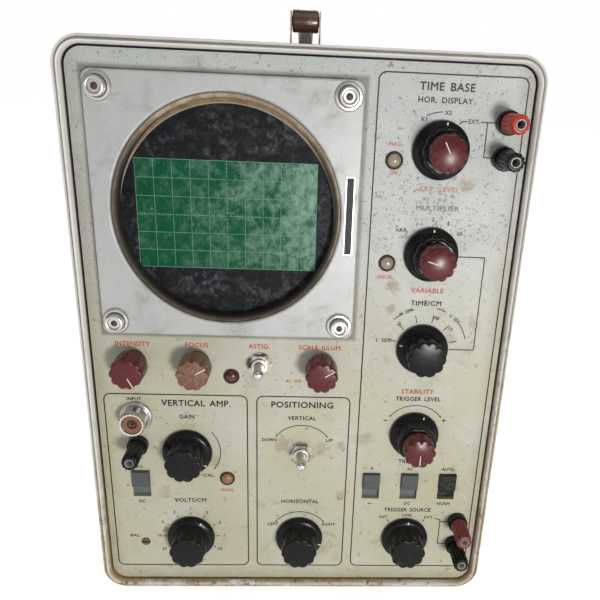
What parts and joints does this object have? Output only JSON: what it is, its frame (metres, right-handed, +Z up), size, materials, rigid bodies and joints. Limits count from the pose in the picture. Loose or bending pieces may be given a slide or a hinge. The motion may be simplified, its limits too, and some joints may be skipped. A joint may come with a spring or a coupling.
{
  "type": "laboratory oscilloscope",
  "caption": "Bench oscilloscope with a round-tube bezel and green graticule, dark red and black knobs, slide switches, binding posts and a strap handle on a deep cabinet.",
  "frame": {"origin": "on the bench, under the middle of the overall box, between the knob tips and the rear bumpers", "axes": "+Z up, -Y out of the front panel towards the user, +X to the user's right"},
  "size_m": [0.254, 0.559, 0.3885],
  "materials": {
    "panel_paint": "matt, speckled with age",
    "rim_metal": "dull, stained",
    "bezel_paint": "silver hammer paint",
    "bright_plating": "worn plating",
    "seal_rubber": "brown, aged",
    "graticule_plastic": "green, dusty",
    "tube_glass": "clear",
    "shield_metal": "satin",
    "chassis_metal": "plain sheet",
    "cabinet_paint": "satin",
    "screw_steel": "plated",
    "foot_rubber": "matt",
    "bracket_paint": "plated, stained",
    "strap_leather": "glossy, worn",
    "transformer_black": "black enamel",
    "can_metal": "bright cans",
    "valve_glass": "clear",
    "board_plastic": "phenolic board",
    "lamp_lens": "amber lens",
    "black_plastic": "moulded, worn",
    "red_plastic": "dark red, moulded",
    "grey_plastic": "moulded",
    "filter_foam": "open mesh pad"
  },
  "bodies": {
    "cabinet": {"front_panel": "panel_paint", "front_rim": "rim_metal", "crt_bezel": "bezel_paint", "bezel_thumb_nuts": "bright_plating", "light_seal": "seal_rubber", "graticule": "graticule_plastic", "crt": "tube_glass", "crt_shield": "shield_metal", "chassis_plates": "chassis_metal", "chassis_rails": "chassis_metal", "rear_panel": "cabinet_paint", "left_cover": "cabinet_paint", "right_cover": "cabinet_paint", "top_cover": "cabinet_paint", "bottom_cover": "cabinet_paint", "cover_screws": "screw_steel", "feet": "foot_rubber", "handle_brackets": "bracket_paint", "handle_strap": "strap_leather", "power_transformer": "transformer_black", "filter_capacitors": "can_metal", "vacuum_tubes": "valve_glass", "terminal_boards": "board_plastic", "potentiometers": "chassis_metal", "rotary_switches": "chassis_metal", "control_nuts": "bright_plating", "slide_switch_bodies": "chassis_metal", "indicator_lamps": "lamp_lens", "input_connector": "bright_plating", "binding_post_bases": "black_plastic", "fan_motor": "transformer_black", "air_filter": "filter_foam", "power_inlet": "black_plastic"},
    "intensity_knob": {"intensity_knob": "red_plastic"},
    "focus_knob": {"focus_knob": "red_plastic"},
    "astigmatism_shaft": {"astigmatism_shaft": "bright_plating"},
    "scale_illumination_knob": {"scale_illumination_knob": "red_plastic"},
    "gain_knob": {"gain_knob": "black_plastic"},
    "vertical_position_shaft": {"vertical_position_shaft": "bright_plating"},
    "horizontal_position_knob": {"horizontal_position_knob": "black_plastic"},
    "volts_per_division_knob": {"volts_per_division_knob": "black_plastic"},
    "display_knob": {"display_knob": "black_plastic"},
    "external_gain_knob": {"external_gain_knob": "red_plastic"},
    "multiplier_knob": {"multiplier_knob": "black_plastic"},
    "variable_time_knob": {"variable_time_knob": "red_plastic"},
    "time_per_division_knob": {"time_per_division_knob": "black_plastic"},
    "trigger_level_knob": {"trigger_level_knob": "black_plastic"},
    "stability_knob": {"stability_knob": "red_plastic"},
    "trigger_source_knob": {"trigger_source_knob": "black_plastic"},
    "dc_balance_shaft": {"dc_balance_shaft": "bright_plating"},
    "input_coupling_slider": {"input_coupling_slider": "grey_plastic"},
    "trigger_slope_slider": {"trigger_slope_slider": "grey_plastic"},
    "trigger_coupling_slider": {"trigger_coupling_slider": "grey_plastic"},
    "trigger_mode_slider": {"trigger_mode_slider": "black_plastic"},
    "post_cap_time_upper": {"post_cap_time_upper": "red_plastic"},
    "post_cap_time_ground": {"post_cap_time_ground": "black_plastic"},
    "post_cap_trigger": {"post_cap_trigger": "red_plastic"},
    "post_cap_trigger_ground": {"post_cap_trigger_ground": "black_plastic"},
    "post_cap_input_ground": {"post_cap_input_ground": "black_plastic"},
    "fan_blades": {"fan_blades": "chassis_metal"}
  },
  "joints": [
    {"name": "intensity_turn", "type": "hinge", "parent": "cabinet", "child": "intensity_knob", "pos_m": [-0.0978, -0.2525, 0.1768], "axis": [0, -1, 0], "range_deg": [0, 300]},
    {"name": "focus_turn", "type": "hinge", "parent": "cabinet", "child": "focus_knob", "pos_m": [-0.0604, -0.2525, 0.1768], "axis": [0, -1, 0], "range_deg": [-91, 209]},
    {"name": "astigmatism_turn", "type": "hinge", "parent": "cabinet", "child": "astigmatism_shaft", "pos_m": [-0.023, -0.2525, 0.1768], "axis": [0, -1, 0], "range_deg": [-150, 150]},
    {"name": "scale_illumination_turn", "type": "hinge", "parent": "cabinet", "child": "scale_illumination_knob", "pos_m": [0.0139, -0.2525, 0.1768], "axis": [0, -1, 0], "range_deg": [-93, 207]},
    {"name": "gain_turn", "type": "hinge", "parent": "cabinet", "child": "gain_knob", "pos_m": [-0.0682, -0.2525, 0.1165], "axis": [0, -1, 0], "range_deg": [0, 285]},
    {"name": "vertical_position_turn", "type": "hinge", "parent": "cabinet", "child": "vertical_position_shaft", "pos_m": [0.0033, -0.2525, 0.1165], "axis": [0, -1, 0], "range_deg": [-150, 150]},
    {"name": "horizontal_position_turn", "type": "hinge", "parent": "cabinet", "child": "horizontal_position_knob", "pos_m": [0.0033, -0.2525, 0.0525], "axis": [0, -1, 0], "range_deg": [-46, 254]},
    {"name": "volts_per_division_turn", "type": "hinge", "parent": "cabinet", "child": "volts_per_division_knob", "pos_m": [-0.0682, -0.2525, 0.0525], "axis": [0, -1, 0], "range_deg": [-90, 150]},
    {"name": "display_turn", "type": "hinge", "parent": "cabinet", "child": "display_knob", "pos_m": [0.0743, -0.2525, 0.304], "axis": [0, -1, 0], "range_deg": [-41, 39]},
    {"name": "external_gain_turn", "type": "hinge", "parent": "cabinet", "child": "external_gain_knob", "pos_m": [0.0743, -0.2525, 0.304], "axis": [0, -1, 0], "range_deg": [-178, 122]},
    {"name": "multiplier_turn", "type": "hinge", "parent": "cabinet", "child": "multiplier_knob", "pos_m": [0.0743, -0.2525, 0.2471], "axis": [0, -1, 0], "range_deg": [-60, 60]},
    {"name": "variable_time_turn", "type": "hinge", "parent": "cabinet", "child": "variable_time_knob", "pos_m": [0.0743, -0.2525, 0.2471], "axis": [0, -1, 0], "range_deg": [-223, 77]},
    {"name": "time_per_division_turn", "type": "hinge", "parent": "cabinet", "child": "time_per_division_knob", "pos_m": [0.0743, -0.2525, 0.1893], "axis": [0, -1, 0], "range_deg": [-150, 0]},
    {"name": "trigger_level_turn", "type": "hinge", "parent": "cabinet", "child": "trigger_level_knob", "pos_m": [0.0743, -0.2525, 0.1312], "axis": [0, -1, 0], "range_deg": [-131, 169]},
    {"name": "stability_turn", "type": "hinge", "parent": "cabinet", "child": "stability_knob", "pos_m": [0.0743, -0.2525, 0.1312], "axis": [0, -1, 0], "range_deg": [-300, 0]},
    {"name": "trigger_source_turn", "type": "hinge", "parent": "cabinet", "child": "trigger_source_knob", "pos_m": [0.0743, -0.2525, 0.0525], "axis": [0, -1, 0], "range_deg": [-40, 40]},
    {"name": "dc_balance_turn", "type": "hinge", "parent": "cabinet", "child": "dc_balance_shaft", "pos_m": [-0.0985, -0.2525, 0.0478], "axis": [0, -1, 0], "range_deg": [-150, 150]},
    {"name": "input_coupling_slider_slide", "type": "slide", "parent": "cabinet", "child": "input_coupling_slider", "axis": [0, 0, -1], "range_m": [0, 0.0083]},
    {"name": "trigger_slope_slider_slide", "type": "slide", "parent": "cabinet", "child": "trigger_slope_slider", "axis": [0, 0, -1], "range_m": [0, 0.0083]},
    {"name": "trigger_coupling_slider_slide", "type": "slide", "parent": "cabinet", "child": "trigger_coupling_slider", "axis": [0, 0, -1], "range_m": [0, 0.0083]},
    {"name": "trigger_mode_slider_slide", "type": "slide", "parent": "cabinet", "child": "trigger_mode_slider", "axis": [0, 0, -1], "range_m": [0, 0.0083]},
    {"name": "post_cap_time_upper_unscrew", "type": "slide", "parent": "cabinet", "child": "post_cap_time_upper", "axis": [0, -1, 0], "range_m": [0, 0.004]},
    {"name": "post_cap_time_ground_unscrew", "type": "slide", "parent": "cabinet", "child": "post_cap_time_ground", "axis": [0, -1, 0], "range_m": [0, 0.004]},
    {"name": "post_cap_trigger_unscrew", "type": "slide", "parent": "cabinet", "child": "post_cap_trigger", "axis": [0, -1, 0], "range_m": [0, 0.004]},
    {"name": "post_cap_trigger_ground_unscrew", "type": "slide", "parent": "cabinet", "child": "post_cap_trigger_ground", "axis": [0, -1, 0], "range_m": [0, 0.004]},
    {"name": "post_cap_input_ground_unscrew", "type": "slide", "parent": "cabinet", "child": "post_cap_input_ground", "axis": [0, -1, 0], "range_m": [0, 0.004]},
    {"name": "fan_spin", "type": "hinge", "parent": "cabinet", "child": "fan_blades", "pos_m": [0, 0.24, 0.113], "axis": [0, 1, 0], "continuous": true}
  ]
}
